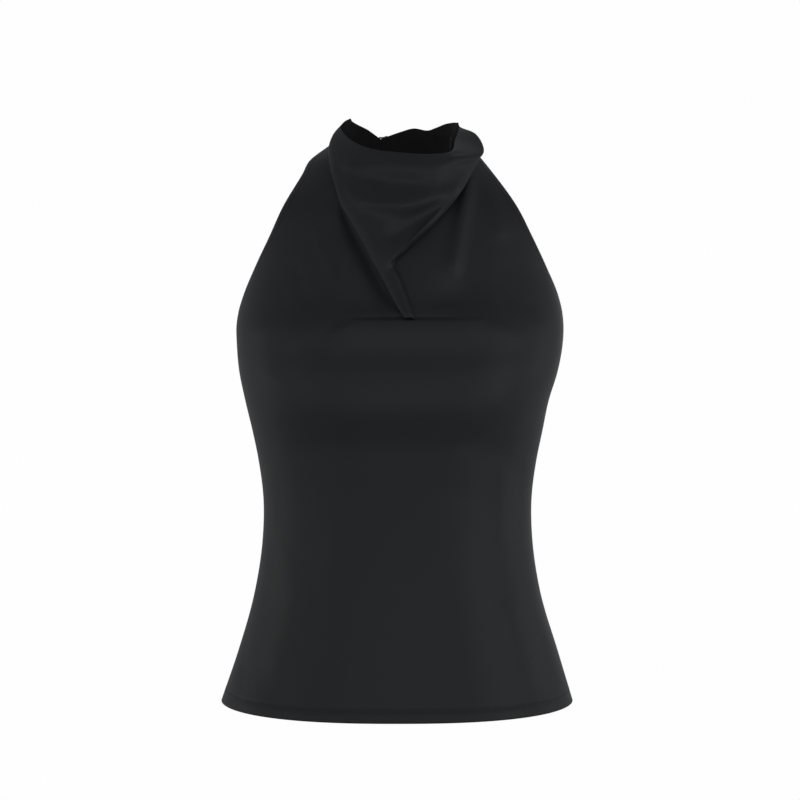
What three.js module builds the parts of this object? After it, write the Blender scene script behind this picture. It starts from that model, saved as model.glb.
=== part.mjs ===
import * as THREE from 'three';

// Halter neck top in satin, filled out as worn: a close bodice, a cowl draped in a V from the
// neck, and a band behind the neck that fastens with one covered button.
// Millimetres, +Z up. The front faces -Y and +X is to the right as seen from the front.
// The origin is the middle of the neck opening, where the neck holds the top.

// Driving sizes
const WALL = 1.2;
const HEM_WALL = 2.2;
const HEM_DEPTH = 12;
const SEAM_GAP = 0.3;
const SEAM_ALLOWANCE = 1.5;
const CLEARANCE = 0.6;
const STRAP_CLEARANCE = 1.25;
const STRAP_LOW_Z = -40;
const HEM_Z = -553;
const UNDERARM_Z = -165;
const STRAP_TOP_Z = 12;
const STRAP_EDGE_SHARE = 0.98;
const BACK_SCOOP = 40;
const BACK_FULL = 2.3;
const BACK_ROUND = 2;

// Outline from the front: half the width at each height, and the middle of that width
const OUTLINE = [
  { z: 12, half: 57, mid: -1 },
  { z: 0, half: 74, mid: -1 },
  { z: -10, half: 84.5, mid: -3.5 },
  { z: -25, half: 94.5, mid: -1.8 },
  { z: -55, half: 114, mid: 0 },
  { z: -85, half: 128.8, mid: 0.8 },
  { z: -115, half: 143.5, mid: 0.8 },
  { z: -145, half: 156.6, mid: 0.8 },
  { z: -160, half: 161, mid: 0.4 },
  { z: -175, half: 163, mid: 0 },
  { z: -192, half: 162.6, mid: -0.2 },
  { z: -220, half: 159, mid: -1.5 },
  { z: -250, half: 151.5, mid: -3 },
  { z: -280, half: 145, mid: -2.5 },
  { z: -310, half: 139, mid: -2.5 },
  { z: -350, half: 134.3, mid: -2.5 },
  { z: -385, half: 135, mid: -2.5 },
  { z: -445, half: 144, mid: -2.5 },
  { z: -505, half: 161.5, mid: -2 },
  { z: -553, half: 177, mid: -3 },
];

// Outline from the side: how far the front and the back stand out at their middle. full and
// round shape the front's section: a larger full is flatter, and a round of 2 meets the side
// seam square on.
const PROFILE = [
  { z: 12, front: -42, back: 92, full: 2.2, round: 1.25 },
  { z: 0, front: -48, back: 92, full: 2.2, round: 1.2 },
  { z: -25, front: -59, back: 92, full: 2.2, round: 1.2 },
  { z: -55, front: -70, back: 92, full: 2.2, round: 1.3 },
  { z: -100, front: -87, back: 92, full: 2.3, round: 1.5 },
  { z: -145, front: -102.5, back: 92, full: 2.5, round: 1.8 },
  { z: -170, front: -113, back: 92, full: 2.6, round: 2 },
  { z: -195, front: -117.5, back: 92, full: 2.75, round: 2 },
  { z: -215, front: -123, back: 91.5, full: 2.8, round: 2 },
  { z: -232, front: -125.5, back: 90.5, full: 2.75, round: 2 },
  { z: -250, front: -125, back: 89, full: 2.65, round: 2 },
  { z: -270, front: -120, back: 87, full: 2.5, round: 2 },
  { z: -288, front: -114.5, back: 85, full: 2.4, round: 2 },
  { z: -315, front: -111, back: 83.5, full: 2.35, round: 2 },
  { z: -350, front: -109, back: 82, full: 2.3, round: 2 },
  { z: -420, front: -109, back: 89, full: 2.3, round: 2 },
  { z: -490, front: -115, back: 103, full: 2.3, round: 2 },
  { z: -553, front: -125, back: 114, full: 2.45, round: 2 },
];

// Depth of the armhole edge above the underarm
const ARMHOLE = [
  { z: 12, edge: 8 },
  { z: 0, edge: -1 },
  { z: -25, edge: -25 },
  { z: -55, edge: -42 },
  { z: -100, edge: -32.5 },
  { z: -122, edge: -19 },
  { z: -140, edge: -8.6 },
  { z: -154, edge: -2.3 },
  { z: -165, edge: 0 },
];

// The V neckline under the cowl, from the two straps down to its point
const NECKLINE = [
  { z: 12, left: -51, right: 50 },
  { z: 0, left: -50, right: 49 },
  { z: -20, left: -46.5, right: 46.5 },
  { z: -40, left: -41, right: 41 },
  { z: -60, left: -34.5, right: 31 },
  { z: -80, left: -26.5, right: 15 },
  { z: -95, left: -20.5, right: 0.5 },
  { z: -108, left: -15.5, right: -9.5 },
  { z: -128, left: -8, right: -3 },
  { z: -145, left: 0.5, right: 4.5 },
  { z: -157, left: 9, right: 9 },
];
const NECKLINE_POINT_Z = -157;

// The crease across the chest, where the cowl's tail tucks in, and the puffed ledge of cloth
// under it. They bend down at their left end.
const CREASE = {
  z: -161, left: -50, right: 60, fade: 26, depth: 0.5, above: 5, below: 2.2, bend: 14, bendInset: 10,
  ledge: 3, step: 3.5, deep: 36,
};

// Large soft folds of the front. Each is a straight ridge, or a trough where height is below 0,
// that fades over a share of its length at both ends.
const FOLD_FADE = 0.25;
const FRONT_FOLDS = [
  { x: 72, z: -14, toX: 46, toZ: -138, width: 7.5, height: 5.5 },
  { x: 93, z: -40, toX: 101, toZ: -92, width: 9, height: 1.5 },
  { x: -62, z: -58, toX: -4, toZ: -166, width: 8.5, height: -4.5 },
  { x: -108, z: -279, toX: 110, toZ: -274, width: 16, height: -1.5 },
  { x: -92, z: -405, toX: -126, toZ: -530, width: 16, height: 3.5 },
  { x: 104, z: -430, toX: 132, toZ: -540, width: 18, height: 3 },
];

// The hollows of the chest above the crease, to the right and to the left of the cowl's tail
const FRONT_HOLLOWS = [
  { x: 48, z: -145, across: 23, above: 22, below: 9, depth: 5 },
  { x: -32, z: -151, across: 22, above: 22, below: 6, depth: 2.2 },
];

// Large soft folds of the back
const BACK_FOLDS = [
  { x: -78, z: -332, toX: 92, toZ: -322, width: 15, height: -2.6 },
  { x: -95, z: -362, toX: 66, toZ: -350, width: 14, height: 2.4 },
  { x: 78, z: -430, toX: 108, toZ: -535, width: 18, height: 4 },
  { x: -66, z: -440, toX: -88, toZ: -540, width: 17, height: 3.5 },
];

// The seams between the cowl and the band, straight from the top edge down to the straps. apart
// is how far along Y the two pieces stand from each other, which is SEAM_GAP square to the seam.
const JOINS = {
  left: {
    top: [-50, 5, 30], low: [-51.3, -9.3, 12.4], apart: 0.39, facing: new THREE.Vector3(-1, 0, 0),
  },
  right: {
    top: [58.5, 12, 25.5], low: [50.3, -7.5, 12.4], apart: 0.54, facing: new THREE.Vector3(1, 0, 0),
  },
};

// The cowl round the neck: three rows of points between those seams, the first along the top
// edge
const COLLAR_ROWS = [
  {
    underLeft: [-55, -7, 27], foldLeft: [-58.5, -21, 21],
    overLeft: [-47, -48, 8], nearLeft: [-27, -66, 0], middle: [0, -75, -3.5],
    nearRight: [26, -75, -5], overRight: [48, -66, -3], foldRight: [54, -32, 9],
    underRight: [58, -8, 19],
  },
  {
    underLeft: [-61, -11, 18], foldLeft: [-66.5, -23, 12.5],
    overLeft: [-56, -48, -1], nearLeft: [-31, -70, -10], middle: [0, -81, -14],
    nearRight: [28, -82, -15], overRight: [62, -66, -9], foldRight: [80.5, -43, -1],
    underRight: [74.5, -18, 14.5],
  },
  {
    underLeft: [-62, -17, 5.5], foldLeft: [-70, -27, 1],
    overLeft: [-64, -48, -9], nearLeft: [-34, -73, -20], middle: [1, -84, -25],
    nearRight: [29, -84, -25], overRight: [59, -67, -17], foldRight: [76.5, -49, -11],
    underRight: [64, -26, 1],
  },
];

// The cowl over the bodice: x, z and height above the bodice at its left fold, its middle and
// its right fold, with the heights of its two seams
const DRAPE_ROWS = [
  { left: [-68, -19, 10], middle: [2, -39, 20.5], right: [69.5, -25, 17], seam: [0, -6] },
  { left: [-62.5, -39, 9], middle: [3, -54, 19.5], right: [60.5, -40, 15], seam: [-25, -28] },
  { left: [-57.5, -54, 9], middle: [2, -68, 14], right: [49, -55, 15], seam: [-44, -45] },
  { left: [-48.5, -70, 9], middle: [-3, -82, 11.5], right: [34.5, -71, 13], seam: [-62, -65] },
  { left: [-37, -91, 8.5], middle: [-8, -96, 10], right: [19, -85.5, 11], seam: [-82, -81] },
  { left: [-29.5, -106, 8.5], middle: [-12, -107, 9], right: [4.5, -98.5, 9], seam: [-98, -94] },
  { left: [-23.5, -117, 8], middle: [-14, -116, 8], right: [-5, -110, 5], seam: [-109, -105] },
  { left: [-17.5, -128, 7.5], middle: [-8, -127, 7], right: [1, -123, 4.6], seam: [-121, -119] },
  { left: [-10, -141, 6.5], middle: [-1, -140.5, 6], right: [7, -138, 4.5], seam: [-135, -134] },
  { left: [-3, -152, 5.2], middle: [5, -152, 5], right: [12, -151.5, 4.4], seam: [-146, -146] },
  { left: [3, -160.5, 3.6], middle: [9.5, -161, 4], right: [15.5, -161, 3.5], seam: [-154, -154] },
];

// The cowl's folded sides. As shares of the cloth's height above the bodice: roll is how far in
// from its fold the cloth reaches that height, under how far the turned cloth reaches back, and
// half the height of the fold itself. drop and rise tilt the fold, and slope sets the sag of the
// cloth between a fold and the middle. crown is its fullness there in mm, with crownRight more at
// the right above crownLowZ.
const FOLD = {
  roll: 0.45, under: 0.45, half: 0.5, drop: 1, rise: 2, slope: 0.65,
  crown: 0.8, crownRight: 7, crownLowZ: -60,
};
const UNDER_LIFT = 1.6;

// The band behind the neck, in two halves: stations along the top and lower edges between the
// seam with the cowl and the nape
const RIGHT_BAND = {
  top: [JOINS.right.top, [53, 23, 25.8], [45, 34, 24.5], [36, 44, 21], [28, 50, 18.7],
    [14, 54.5, 20.8], [0, 55, 17.2], [-19.7, 55, 10]],
  low: [JOINS.right.low, [54.3, 3, 12.6], [54.5, 11, 8.2], [51.5, 22, -4], [44, 35, -10],
    [28, 48.5, -14], [6, 55, -16], [-19.7, 55, -15]],
};
const LEFT_BAND = {
  top: [[-20.3, 55, 10], [-26, 50.8, 14.5], [-33, 43, 19.5], [-42, 32, 24], [-48, 18, 27.5],
    JOINS.left.top],
  low: [[-20.3, 55, -15], [-29, 49.8, -14], [-40, 40, -11], [-51, 25, -4], [-57, 5, 12.4],
    JOINS.left.low],
};
const BAND_BOW = 1.2;

// Covered button on the right end of the band, and the loop on its left end
const BUTTON = {
  x: -13.5, z: 8, offset: 0.55, shank: 2, neck: 2.6, radius: 5.2, height: 3.4, rim: 0.8,
  underside: 0.9, domeSteps: 5,
};
const LOOP = { root: -20, radius: 0.8, bend: 3.4, offset: 1.4, bendSteps: 8 };
const NAPE_DEPTH = 55;

// How finely each sheet is divided
const FRONT_ZONES = [
  { to: -24, rows: 6 },
  { to: -150, rows: 13 },
  { to: -174, rows: 12 },
  { to: -300, rows: 9 },
  { to: -540.5, rows: 11 },
  { to: -541.5, rows: 1 },
  { to: HEM_Z, rows: 1 },
];
const FRONT_HALF_COLUMNS = 16;
const BACK_COLUMNS = 28;
const BACK_ROWS = 17;
const COWL_COLUMNS_PER_SPAN = 4;
const COWL_ROWS_PER_SPAN = 2;
const BAND_COLUMNS = 14;
const BAND_ROWS = 4;
const BUTTON_SIDES = 24;
const LOOP_STEPS = 28;
const LOOP_CURVE_SEGMENTS = 4;

const SATIN = { color: 0x262729, roughness: 0.42, metalness: 0 };
const BAND_SATIN = { color: 0x222325, roughness: 0.48, metalness: 0 };
const BUTTON_SATIN = { color: 0x202123, roughness: 0.38, metalness: 0 };

// One column of a table at a height, smooth between its rows, which run downwards
function smooth(table, column, z) {
  const last = table.length - 1;
  if (z >= table[0].z) return table[0][column];
  if (z <= table[last].z) return table[last][column];
  let i = 0;
  while (z < table[i + 1].z) i += 1;
  const rise = (k) => (table[k + 1][column] - table[k][column]) / (table[k + 1].z - table[k].z);
  const slope = (k) => {
    if (k === 0) return rise(0);
    if (k === last) return rise(last - 1);
    const before = table[k].z - table[k - 1].z;
    const after = table[k + 1].z - table[k].z;
    return (before * rise(k) + after * rise(k - 1)) / (before + after);
  };
  const step = table[i + 1].z - table[i].z;
  const t = (z - table[i].z) / step;
  const start = table[i][column] * (2 * t ** 3 - 3 * t ** 2 + 1);
  const end = table[i + 1][column] * (3 * t ** 2 - 2 * t ** 3);
  const leave = slope(i) * step * (t ** 3 - 2 * t ** 2 + t);
  const arrive = slope(i + 1) * step * (t ** 3 - t ** 2);
  return start + end + leave + arrive;
}

function clamp(value, low, high) {
  return Math.min(high, Math.max(low, value));
}

function ease(value) {
  const t = clamp(value, 0, 1);
  return t * t * (3 - 2 * t);
}

// Height of a straight soft fold at a place: full along its length, fading at both ends
function foldHeight(fold, x, z) {
  const alongX = fold.toX - fold.x;
  const alongZ = fold.toZ - fold.z;
  const length = Math.hypot(alongX, alongZ);
  const t = ((x - fold.x) * alongX + (z - fold.z) * alongZ) / (length * length);
  const off = ((x - fold.x) * alongZ - (z - fold.z) * alongX) / length;
  const fade = ease(t / FOLD_FADE) * ease((1 - t) / FOLD_FADE);
  return fold.height * fade * Math.exp(-((off / fold.width) ** 2));
}

function foldsHeight(folds, x, z) {
  return folds.reduce((sum, fold) => sum + foldHeight(fold, x, z), 0);
}

function creaseDepth(x, z) {
  const past = Math.max(0, CREASE.left - x, x - CREASE.right) / CREASE.fade;
  const bent = Math.max(0, CREASE.left + CREASE.bendInset - x) / CREASE.fade;
  const off = z - (CREASE.z - CREASE.bend * bent * bent);
  const width = off > 0 ? CREASE.above : CREASE.below;
  const ledge = CREASE.ledge * ease(-off / CREASE.step) * ease(1 + off / CREASE.deep);
  return (CREASE.depth * Math.exp(-((off / width) ** 2)) - ledge) * (1 - ease(past));
}

function hollowsDepth(x, z) {
  return FRONT_HOLLOWS.reduce((sum, hollow) => {
    const across = (x - hollow.x) / hollow.across;
    const off = z - hollow.z;
    const up = off / (off > 0 ? hollow.above : hollow.below);
    return sum + hollow.depth * Math.exp(-(across ** 2) - up ** 2);
  }, 0);
}

function edgeDepth(z) {
  return (z <= UNDERARM_Z ? 0 : smooth(ARMHOLE, 'edge', z)) - SEAM_GAP / 2;
}

// The front's surface: share runs from -1 at the left edge to 1 at the right edge
function frontDepth(share, z) {
  const full = smooth(PROFILE, 'full', z);
  const bow = (1 - Math.abs(share) ** full) ** (1 / smooth(PROFILE, 'round', z));
  const edge = edgeDepth(z);
  const x = frontX(share, z);
  const relief = foldsHeight(FRONT_FOLDS, x, z) - creaseDepth(x, z) - hollowsDepth(x, z);
  return edge + (smooth(PROFILE, 'front', z) - edge) * bow - relief * Math.min(1, bow * 2);
}

function frontX(share, z) {
  return smooth(OUTLINE, 'mid', z) + smooth(OUTLINE, 'half', z) * share;
}

function frontShare(x, z) {
  return clamp((x - smooth(OUTLINE, 'mid', z)) / smooth(OUTLINE, 'half', z), -1, 1);
}

function bodiceDepth(x, z) {
  return frontDepth(frontShare(x, z), z);
}

// A sheet of cloth: its points, and its four-sided faces wound to face out. Points at the same
// place become one.
class Sheet {
  constructor() {
    this.points = [];
    this.faces = [];
    this.places = new Map();
    this.seams = new Map();
  }

  point(place) {
    const key = place.toArray().map((value) => value.toFixed(4)).join(' ');
    if (!this.places.has(key)) {
      this.places.set(key, this.points.length);
      this.points.push(place);
    }
    return this.places.get(key);
  }

  // A grid whose columns run to the right and rows run down, as seen from outside. A seam
  // gives the way that the cloth faces along that edge of the grid.
  grid(columns, rows, placeAt, seamAt = () => null) {
    const ids = [];
    for (let i = 0; i <= columns; i += 1) {
      ids.push([]);
      for (let j = 0; j <= rows; j += 1) {
        const id = this.point(placeAt(i, j));
        const facing = seamAt(i, j);
        if (facing) this.seams.set(id, facing);
        ids[i].push(id);
      }
    }
    for (let i = 0; i < columns; i += 1) {
      for (let j = 0; j < rows; j += 1) {
        this.faces.push([ids[i][j], ids[i][j + 1], ids[i + 1][j + 1], ids[i + 1][j]]);
      }
    }
    return this;
  }

  triangles() {
    const found = [];
    const gap = (a, b) => this.points[a].distanceTo(this.points[b]);
    for (const [a, b, c, d] of this.faces) {
      const pair = gap(a, c) <= gap(b, d) ? [[a, b, c], [a, c, d]] : [[a, b, d], [b, c, d]];
      found.push(...pair.filter(([p, q, r]) => p !== q && q !== r && r !== p));
    }
    return found;
  }

  normals(triangles) {
    const sums = this.points.map(() => new THREE.Vector3());
    for (const [a, b, c] of triangles) {
      const first = this.points[b].clone().sub(this.points[a]);
      const face = first.cross(this.points[c].clone().sub(this.points[a]));
      for (const id of [a, b, c]) sums[id].add(face);
    }
    for (const [id, facing] of this.seams) sums[id].copy(facing);
    return sums.map((sum) => sum.normalize());
  }

  // A closed wall: the sheet, the sheet moved in by its thickness, and a rim on each free edge
  wall(thicknessAt) {
    const outer = this.triangles();
    const normals = this.normals(outer);
    const count = this.points.length;
    const inner = this.points.map((p, i) => {
      return p.clone().addScaledVector(normals[i], -thicknessAt(p));
    });
    const index = outer.flatMap(([a, b, c]) => [a, b, c, a + count, c + count, b + count]);
    const edges = new Set();
    for (const [a, b, c] of outer) {
      for (const [p, q] of [[a, b], [b, c], [c, a]]) edges.add(`${p} ${q}`);
    }
    for (const edge of edges) {
      const [p, q] = edge.split(' ').map(Number);
      if (edges.has(`${q} ${p}`)) continue;
      index.push(q, p, p + count, q, p + count, q + count);
    }
    const geometry = new THREE.BufferGeometry();
    const places = [...this.points, ...inner].flatMap((p) => p.toArray());
    geometry.setAttribute('position', new THREE.Float32BufferAttribute(places, 3));
    geometry.setIndex(index);
    geometry.computeVertexNormals();
    return geometry;
  }
}

function panelWall(place) {
  return place.z < HEM_Z + HEM_DEPTH ? HEM_WALL : WALL;
}

function zoneHeights(top, zones) {
  const heights = [top];
  for (const zone of zones) {
    const start = heights[heights.length - 1];
    for (let k = 1; k <= zone.rows; k += 1) {
      heights.push(start + ((zone.to - start) * k) / zone.rows);
    }
  }
  return heights;
}

// The two halves of the front, parted by the V neckline and one below its point
function frontPanel() {
  const heights = zoneHeights(STRAP_TOP_Z, FRONT_ZONES);
  const nearest = heights.reduce((best, z) => {
    return Math.abs(z - NECKLINE_POINT_Z) < Math.abs(best - NECKLINE_POINT_Z) ? z : best;
  });
  heights[heights.indexOf(nearest)] = NECKLINE_POINT_Z;
  const angle = (x, z) => Math.asin(frontShare(x, z));
  const placeAt = (side) => (i, j) => {
    const z = heights[j];
    const inside = angle(smooth(NECKLINE, side, z), z);
    const t = i / FRONT_HALF_COLUMNS;
    const start = side === 'left' ? -Math.PI / 2 : inside;
    const end = side === 'left' ? inside : Math.PI / 2;
    const share = Math.sin(start + (end - start) * t);
    return new THREE.Vector3(frontX(share, z), frontDepth(share, z), z);
  };
  const seamAt = (side) => (i, j) => {
    const atEdge = side === 'left' ? i === 0 : i === FRONT_HALF_COLUMNS;
    if (!atEdge || heights[j] > UNDERARM_Z) return null;
    return new THREE.Vector3(side === 'left' ? -1 : 1, 0, 0);
  };
  const sheet = new Sheet();
  for (const side of ['left', 'right']) {
    sheet.grid(FRONT_HALF_COLUMNS, heights.length - 1, placeAt(side), seamAt(side));
  }
  return sheet.wall(panelWall);
}

function backPoint(share, z) {
  const x = frontX(share, z);
  const bow = (1 - Math.abs(share) ** BACK_FULL) ** (1 / BACK_ROUND);
  const relief = foldsHeight(BACK_FOLDS, x, z) * Math.min(1, bow * 2);
  return new THREE.Vector3(x, SEAM_GAP / 2 + smooth(PROFILE, 'back', z) * bow + relief, z);
}

// The back, scooped low between the two underarms
function backPanel() {
  const hemRows = [HEM_Z + HEM_DEPTH + 0.5, HEM_Z + HEM_DEPTH - 0.5, HEM_Z];
  const placeAt = (i, j) => {
    const share = Math.sin((0.5 - i / BACK_COLUMNS) * Math.PI);
    const top = UNDERARM_Z - BACK_SCOOP * (1 - share * share);
    const t = j / BACK_ROWS;
    const z = j <= BACK_ROWS ? top + (hemRows[0] - top) * t : hemRows[j - BACK_ROWS];
    return backPoint(share, z);
  };
  const seamAt = (i) => {
    if (i === 0) return new THREE.Vector3(1, 0, 0);
    return i === BACK_COLUMNS ? new THREE.Vector3(-1, 0, 0) : null;
  };
  return new Sheet().grid(BACK_COLUMNS, BACK_ROWS + 2, placeAt, seamAt).wall(panelWall);
}

// The cowl's eleven points on one row over the bodice, from the left seam to the right seam
function drapeRow(row) {
  const onBodice = (x, z, lift) => [x, bodiceDepth(x, z) - lift, z];
  const [leftX, leftZ, leftUp] = row.left;
  const [midX, midZ, midUp] = row.middle;
  const [rightX, rightZ, rightUp] = row.right;
  const [seamLeftZ, seamRightZ] = row.seam;
  const seamLeftX = smooth(NECKLINE, 'left', seamLeftZ) - SEAM_ALLOWANCE;
  const seamRightX = smooth(NECKLINE, 'right', seamRightZ) + SEAM_ALLOWANCE;
  const overLeftX = leftX + FOLD.roll * leftUp;
  const overRightX = rightX - FOLD.roll * rightUp;
  const nearLeftX = (overLeftX + midX) / 2;
  const nearRightX = (overRightX + midX) / 2;
  const nearLeftZ = leftZ + FOLD.slope * (midZ - leftZ);
  const nearRightZ = rightZ + FOLD.slope * (midZ - rightZ);
  const nearLeftUp = (leftUp + midUp) / 2 + FOLD.crown;
  const nearRightUp = (rightUp + midUp) / 2 + rightCrown(rightZ);
  return {
    seamLeft: onBodice(seamLeftX, seamLeftZ, seamLift(seamLeftZ)),
    underLeft: onBodice(leftX + FOLD.under * leftUp, leftZ + FOLD.rise, UNDER_LIFT),
    foldLeft: onBodice(leftX, leftZ, leftUp * FOLD.half),
    overLeft: onBodice(overLeftX, leftZ - FOLD.drop, leftUp),
    nearLeft: onBodice(nearLeftX, nearLeftZ, nearLeftUp),
    middle: onBodice(midX, midZ, midUp),
    nearRight: onBodice(nearRightX, nearRightZ, nearRightUp),
    overRight: onBodice(overRightX, rightZ - FOLD.drop, rightUp),
    foldRight: onBodice(rightX, rightZ, rightUp * FOLD.half),
    underRight: onBodice(rightX - FOLD.under * rightUp, rightZ + FOLD.rise, UNDER_LIFT),
    seamRight: onBodice(seamRightX, seamRightZ, seamLift(seamRightZ)),
  };
}

// How much fuller the cowl is to the right of its middle, just under the collar
function rightCrown(z) {
  return FOLD.crownRight * ease((z - FOLD.crownLowZ) / -FOLD.crownLowZ);
}

// How far the cowl's seam lies off the bodice: a little more on the curved straps
function seamLift(z) {
  return CLEARANCE + (STRAP_CLEARANCE - CLEARANCE) * ease((z - STRAP_LOW_Z) / -STRAP_LOW_Z);
}

// The cloth lies on the bodice, never in it
function restOnBodice(place, lift) {
  if (place.z > STRAP_TOP_Z) return place;
  if (Math.abs(frontShare(place.x, place.z)) > STRAP_EDGE_SHARE) return place;
  place.y = Math.min(place.y, bodiceDepth(place.x, place.z) - lift);
  return place;
}

// A point on the seam between the cowl and the band, from 0 at the top to 1 at the strap
function joinPoint(side, down) {
  return new THREE.Vector3(...JOINS[side].top).lerp(new THREE.Vector3(...JOINS[side].low), down);
}

// The draped cowl: a curve down each line of points, and a curve across each row
function cowl() {
  const collarRows = COLLAR_ROWS.map((row, k) => {
    const down = k / (COLLAR_ROWS.length - 1);
    const seamLeft = joinPoint('left', down).toArray();
    const seamRight = joinPoint('right', down).toArray();
    return { seamLeft, ...row, seamRight };
  });
  const rows = [...collarRows, ...DRAPE_ROWS.map(drapeRow)];
  const names = Object.keys(collarRows[0]);
  const lines = names.map((name) => {
    const points = rows.map((row) => new THREE.Vector3(...row[name]));
    return new THREE.CatmullRomCurve3(points, false, 'catmullrom');
  });
  const rowCount = (rows.length - 1) * COWL_ROWS_PER_SPAN;
  const columnCount = (names.length - 1) * COWL_COLUMNS_PER_SPAN;
  const bandRows = (COLLAR_ROWS.length - 1) * COWL_ROWS_PER_SPAN;
  const across = [];
  for (let j = 0; j <= rowCount; j += 1) {
    const points = lines.map((line) => line.getPoint(j / rowCount));
    if (j <= bandRows) {
      points[0] = joinPoint('left', j / bandRows);
      points[points.length - 1] = joinPoint('right', j / bandRows);
      points[0].y -= JOINS.left.apart / 2;
      points[points.length - 1].y -= JOINS.right.apart / 2;
    }
    across.push(new THREE.CatmullRomCurve3(points, false, 'centripetal'));
  }
  const placeAt = (i, j) => {
    const place = across[j].getPoint(i / columnCount);
    const atSeam = i === 0 || i === columnCount;
    if (atSeam && j <= bandRows) return place;
    return restOnBodice(place, atSeam ? seamLift(place.z) : UNDER_LIFT);
  };
  const seamAt = (i, j) => {
    if (j > bandRows) return null;
    if (i === 0) return JOINS.left.facing;
    return i === columnCount ? JOINS.right.facing : null;
  };
  return new Sheet().grid(columnCount, rowCount, placeAt, seamAt).wall(() => WALL);
}

// Half of the band behind the neck. joinColumn is the end that meets the cowl at the join.
function neckBand(edges, joinColumn, join) {
  const curve = (stations) => {
    const points = stations.map((station) => new THREE.Vector3(...station));
    return new THREE.CatmullRomCurve3(points, false, 'centripetal');
  };
  const top = curve(edges.top);
  const low = curve(edges.low);
  const placeAt = (i, j) => {
    const t = i / BAND_COLUMNS;
    const down = j / BAND_ROWS;
    const place = top.getPoint(t).lerp(low.getPoint(t), down);
    const outward = new THREE.Vector3(place.x, place.y, 0).normalize();
    const bow = BAND_BOW * Math.sin(Math.PI * down) * Math.sin(Math.PI * t);
    place.addScaledVector(outward, bow);
    if (i === joinColumn) place.y += join.apart / 2;
    return place;
  };
  const seamAt = (i) => {
    if (i === joinColumn) return join.facing;
    return i === BAND_COLUMNS - joinColumn ? new THREE.Vector3(0, 1, 0) : null;
  };
  return new Sheet().grid(BAND_COLUMNS, BAND_ROWS, placeAt, seamAt).wall(() => WALL);
}

// Covered button, turned about its shank, which stands just off the band
function neckButton() {
  const { shank, neck, radius, height, rim, underside, domeSteps } = BUTTON;
  const profile = [
    [0, 0], [shank, 0], [shank, neck], [radius * underside, neck], [radius, neck + rim],
  ];
  for (let k = 1; k <= domeSteps; k += 1) {
    const angle = (Math.PI / 2) * (k / domeSteps);
    profile.push([radius * Math.cos(angle), neck + rim + (height - rim) * Math.sin(angle)]);
  }
  profile[profile.length - 1][0] = 0;
  const points = profile.map(([r, h]) => new THREE.Vector2(r, h));
  return new THREE.LatheGeometry(points, BUTTON_SIDES);
}

// Loop from the left end of the band round the button's shank
function buttonLoop(rootX) {
  const { radius, bend, bendSteps } = LOOP;
  const points = [new THREE.Vector3(rootX, 0, bend)];
  for (let k = 0; k <= bendSteps; k += 1) {
    const angle = Math.PI / 2 - (Math.PI * k) / bendSteps;
    points.push(new THREE.Vector3(bend * Math.cos(angle), 0, bend * Math.sin(angle)));
  }
  points.push(new THREE.Vector3(rootX, 0, -bend));
  const extrudePath = new THREE.CatmullRomCurve3(points, false, 'centripetal');
  const section = new THREE.Shape();
  section.absarc(0, 0, radius, 0, 2 * Math.PI);
  const finish = {
    steps: LOOP_STEPS, curveSegments: LOOP_CURVE_SEGMENTS, extrudePath, bevelEnabled: false,
  };
  return new THREE.ExtrudeGeometry(section, finish);
}

const group = new THREE.Group();

function add(name, geometry, finish) {
  const mesh = new THREE.Mesh(geometry, new THREE.MeshStandardMaterial(finish));
  mesh.name = name;
  group.add(mesh);
  return mesh;
}

add('front_panel', frontPanel(), SATIN);
add('back_panel', backPanel(), SATIN);
add('cowl', cowl(), SATIN);
add('neck_band_right', neckBand(RIGHT_BAND, 0, JOINS.right), BAND_SATIN);
add('neck_band_left', neckBand(LEFT_BAND, BAND_COLUMNS, JOINS.left), BAND_SATIN);

const button = add('neck_button', neckButton(), BUTTON_SATIN);
button.position.set(BUTTON.x, NAPE_DEPTH + BUTTON.offset, BUTTON.z);
const loop = add('button_loop', buttonLoop(LOOP.root - BUTTON.x), BUTTON_SATIN);
loop.position.set(BUTTON.x, NAPE_DEPTH + LOOP.offset, BUTTON.z);

export default group;
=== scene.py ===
"""Looks of the halter neck top: dark satin, filled out as worn, on a pale studio floor.

Sizes are millimetres in the tables and metres in the meshes. The front faces -Y, +Z is up, and
the origin is the middle of the neck opening.
"""

from __future__ import annotations

import logging
import math
from dataclasses import dataclass, field
from enum import Enum
from typing import Any, Callable, Iterable, Sequence

import bmesh
import bpy
from mathutils import Matrix, Vector

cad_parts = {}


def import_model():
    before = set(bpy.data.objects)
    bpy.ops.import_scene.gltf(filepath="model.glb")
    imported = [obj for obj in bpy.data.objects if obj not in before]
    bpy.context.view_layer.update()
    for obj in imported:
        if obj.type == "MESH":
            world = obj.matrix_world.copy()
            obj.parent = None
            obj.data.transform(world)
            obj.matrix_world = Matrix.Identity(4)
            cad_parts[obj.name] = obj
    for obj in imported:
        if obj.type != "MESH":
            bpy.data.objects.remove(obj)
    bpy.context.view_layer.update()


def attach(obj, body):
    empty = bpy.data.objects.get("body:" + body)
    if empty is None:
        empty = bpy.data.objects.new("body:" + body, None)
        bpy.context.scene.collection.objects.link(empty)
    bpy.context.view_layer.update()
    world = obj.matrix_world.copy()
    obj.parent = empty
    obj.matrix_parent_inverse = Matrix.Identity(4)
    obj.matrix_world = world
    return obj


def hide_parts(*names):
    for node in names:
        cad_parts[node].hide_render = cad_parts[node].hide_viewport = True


LOG = logging.getLogger("halter_neck_top")
MM = 0.001
BODY = "root"
Place = Callable[[float, float], Vector]


# Shader maths


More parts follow.
